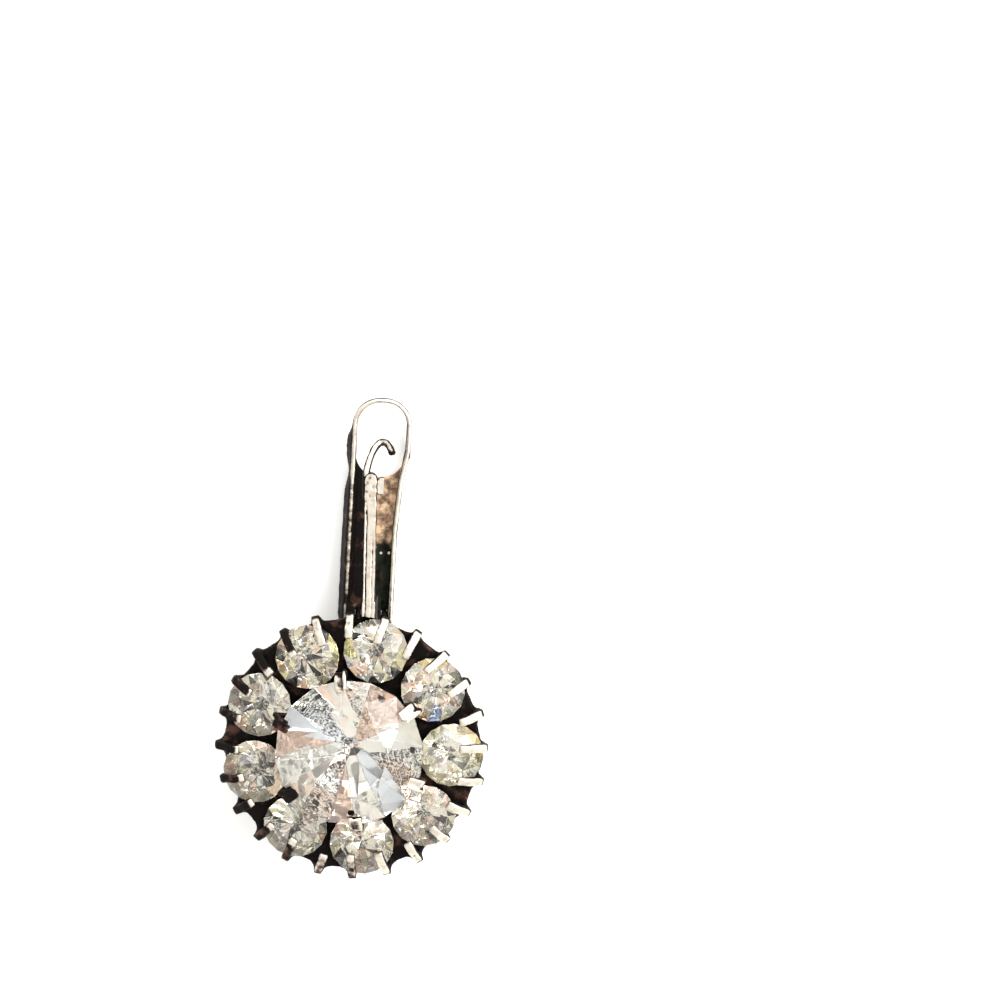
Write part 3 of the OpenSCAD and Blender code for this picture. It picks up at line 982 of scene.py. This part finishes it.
class EARRING_OT_outer_stones(bpy.types.Operator):
    """The nine outer stones, each turned its own way in its seat"""

    bl_idname = "earring.outer_stones"
    bl_label = "Outer stones"

    def execute(self, context):
        stones = context.scene.earring_stones
        width = stones.outer_width / MM
        materials = crystal_materials("outer_crystal", speck=0.22, waviness=0.3, mirror=0.62)
        for k in range(1, OUTER_COUNT + 1):
            angle = FIRST_OUTER_ANGLE - (k - 1) * OUTER_STEP
            place = (in_cluster() @ Matrix.Rotation(math.radians(angle), 4, "Z")
                     @ Matrix.Translation((RING_RADIUS, 0, OUTER_HEIGHT))
                     @ Matrix.Rotation(math.radians(OUTER_TILT), 4, "Y"))
            cut = broken_pavilion(*brilliant(width, stones.table_share), width, PAVILION_SEED + k)
            # Painted shade: more facets get the dark colour on the left of the ring, away from the key
            # lamp.
            shaded = 0.12 - 0.08 * math.cos(math.radians(angle))
            flashes = [(colour, 0, direction - angle, spread)
                       for colour, direction, spread in OUTER_FLASHES[k - 1]]
            reflection_tints = painted_facet_colours(cut, OUTER_TINT_SEED + k, OUTER_SHARES, mottled=0.08, shaded=shaded,
                                flashing=("lower",), flashes=flashes)
            cut_stone(f"outer_crystal_{k}", f"outer_stone_{k}", place, reflection_tints, cut, materials)
        return {"FINISHED"}


# Studio: angles in degrees, the camera and the floor's gap in millimetres, widths and lamps in metres

CAMERA_AZIMUTH = 2.923
CAMERA_ELEVATION = 11.322
CAMERA_ROLL = -1.356
CAMERA_DISTANCE = 350
CAMERA_RIGHT = 8.4986
CAMERA_UP = 7.6993
PIXELS_PER_MM = 16.292
PHOTO_WIDTH = 1000
SENSOR_WIDTH = 36
FLOOR_WIDTH = 1.2
FLOOR_GAP = 0.02


def plain(name, colour, roughness, glow=0.0):
    f = Finish(name)
    return f.surface({"Base Color": rgba(colour), "Roughness": roughness,
                      "Emission Color": rgba(colour), "Emission Strength": glow})


def sheet_of(name, width, depth, material):
    """A flat rectangle of the studio, not part of the object."""
    build = bmesh.new()
    bmesh.ops.create_grid(build, x_segments=8, y_segments=8, size=0.5)
    bmesh.ops.scale(build, vec=(width, depth, 1), verts=build.verts)
    mesh = bpy.data.meshes.new(name)
    build.to_mesh(mesh)
    build.free()
    mesh.materials.append(material)
    piece = bpy.data.objects.new(name, mesh)
    bpy.context.scene.collection.objects.link(piece)
    return piece


def soft_lamp(name, place, size, power, colour):
    """A square lamp that faces the earring."""
    lamp = bpy.data.lights.new(name, "AREA")
    lamp.shape = "SQUARE"
    lamp.size = size
    lamp.energy = power * bpy.context.scene.earring_studio.light
    lamp.color = colour
    holder = bpy.data.objects.new(name, lamp)
    holder.location = place
    holder.rotation_euler = (-Vector(place)).to_track_quat("-Z", "Y").to_euler()
    bpy.context.scene.collection.objects.link(holder)
    return holder


class EARRING_OT_studio(bpy.types.Operator):
    """The pale floor, the soft lamps and the camera"""

    bl_idname = "earring.studio"
    bl_label = "Studio"

    def execute(self, context):
        scene = context.scene
        studio = scene.earring_studio
        floor = sheet_of("floor", FLOOR_WIDTH, FLOOR_WIDTH,
                         plain("floor_paper", studio.floor, roughness=0.8, glow=0.12))
        floor.location.z = -FLOOR_GAP * MM
        world = bpy.data.worlds.new("studio_air")
        world.use_nodes = True
        world.node_tree.nodes["Background"].inputs["Color"].default_value = (1, 0.985, 0.95, 1)
        world.node_tree.nodes["Background"].inputs["Strength"].default_value = 1.15
        scene.world = world
        soft_lamp("key_lamp", place=(0.28, 0.12, 0.3), size=0.3, power=1.8, colour=(1, 0.98, 0.95))
        soft_lamp("top_lamp", place=(0.05, 0.35, 0.25), size=0.18, power=0.7, colour=(1, 0.97, 0.94))
        flag = sheet_of("dark_card", 0.22, 0.26,
                        plain("black_card", (0.01, 0.01, 0.01), roughness=0.9))
        flag.location = (-0.22, -0.02, 0.16)
        flag.rotation_euler = (0, math.radians(55), 0)
        flag.visible_camera = False
        flag.visible_shadow = False
        flag.visible_diffuse = False
        self.add_camera(scene)
        scene.view_settings.view_transform = "Standard"
        return {"FINISHED"}

    def add_camera(self, scene):
        azimuth = math.radians(CAMERA_AZIMUTH)
        elevation = math.radians(CAMERA_ELEVATION)
        roll = math.radians(CAMERA_ROLL)
        towards = Vector((math.sin(azimuth) * math.cos(elevation), math.sin(elevation),
                          math.cos(azimuth) * math.cos(elevation)))
        level = Vector((0, 1, 0)).cross(towards).normalized()
        upright = towards.cross(level)
        right = level * math.cos(roll) - upright * math.sin(roll)
        up = level * math.sin(roll) + upright * math.cos(roll)
        place = (towards * CAMERA_DISTANCE + right * CAMERA_RIGHT + up * CAMERA_UP) * MM
        data = bpy.data.cameras.new("photo_camera")
        data.sensor_width = SENSOR_WIDTH
        data.lens = SENSOR_WIDTH * PIXELS_PER_MM * CAMERA_DISTANCE / PHOTO_WIDTH
        data.clip_start = 0.01
        camera = bpy.data.objects.new("photo_camera", data)
        turn = Matrix((right, up, towards)).transposed().to_4x4()
        camera.matrix_world = Matrix.Translation(place) @ turn
        scene.collection.objects.link(camera)
        scene.camera = camera


class EARRING_PT_pieces(bpy.types.Panel):
    """Lists the pieces of the earring"""

    bl_idname = "EARRING_PT_pieces"
    bl_label = "Rock crystal earring"
    bl_space_type = "VIEW_3D"
    bl_region_type = "UI"
    bl_category = "Earring"

    def draw(self, context):
        column = self.layout.column()
        for operator in OPERATORS:
            column.operator(operator.bl_idname)
        for group in GROUPS:
            settings = getattr(context.scene, group)
            for name in settings.__annotations__:
                column.prop(settings, name)


OPERATORS = (EARRING_OT_setting, EARRING_OT_ear_hook, EARRING_OT_lever, EARRING_OT_hinge_pin,
             EARRING_OT_centre_stone, EARRING_OT_outer_stones, EARRING_OT_studio)
GROUPS = {
    "earring_stones": StoneSettings,
    "earring_metal": MetalSettings,
    "earring_studio": StudioSettings,
}


def register():
    for group in GROUPS.values():
        bpy.utils.register_class(group)
    for name, group in GROUPS.items():
        setattr(bpy.types.Scene, name, bpy.props.PointerProperty(type=group))
    for operator in OPERATORS:
        bpy.utils.register_class(operator)
    bpy.utils.register_class(EARRING_PT_pieces)


def unregister():
    bpy.utils.unregister_class(EARRING_PT_pieces)
    for operator in reversed(OPERATORS):
        bpy.utils.unregister_class(operator)
    for name, group in GROUPS.items():
        delattr(bpy.types.Scene, name)
        bpy.utils.unregister_class(group)


def main():
    register()
    bpy.ops.earring.setting()
    bpy.ops.earring.ear_hook()
    bpy.ops.earring.lever()
    bpy.ops.earring.hinge_pin()
    bpy.ops.earring.centre_stone()
    bpy.ops.earring.outer_stones()
    bpy.ops.earring.studio()


if __name__ == "__main__":
    main()
